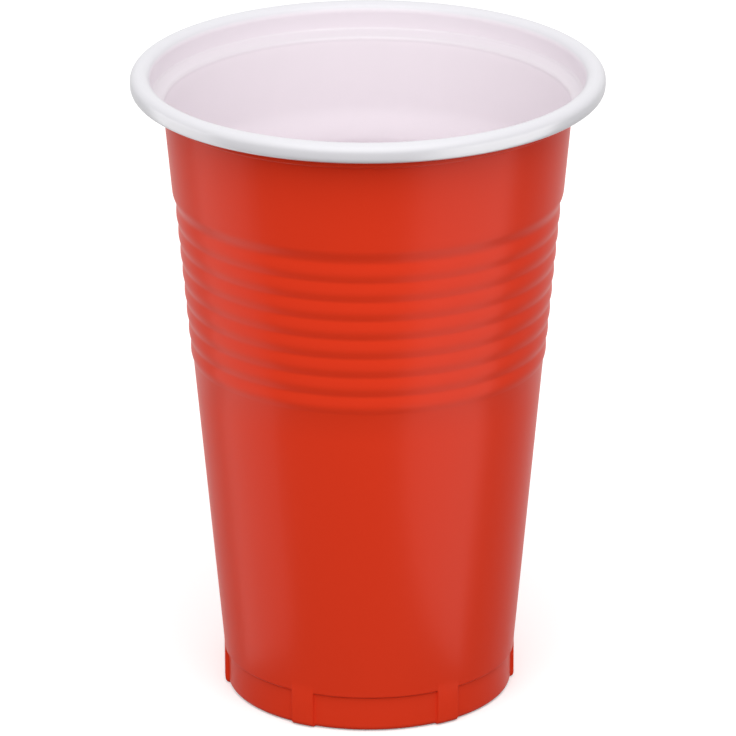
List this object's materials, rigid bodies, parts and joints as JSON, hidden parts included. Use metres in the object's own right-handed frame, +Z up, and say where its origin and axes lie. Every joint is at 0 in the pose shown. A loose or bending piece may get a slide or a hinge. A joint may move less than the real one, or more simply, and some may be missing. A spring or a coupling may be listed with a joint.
{
  "type": "plastic party cup",
  "caption": "Tapered two-tone drinking cup with a rolled rim, a stepped neck, a band of fine grip ribs and a foot with shallow recessed panels between upright lugs.",
  "frame": {"origin": "centre of the plane that the foot stands on", "axes": "+Z up along the cup's axis, +X out through the middle of one of the foot's lugs"},
  "size_m": [0.0702, 0.0702, 0.097],
  "materials": {
    "cup": "satin gloss, red outside, white inside and over the rolled rim"
  },
  "bodies": {
    "root": {"cup": "cup"}
  },
  "joints": []
}
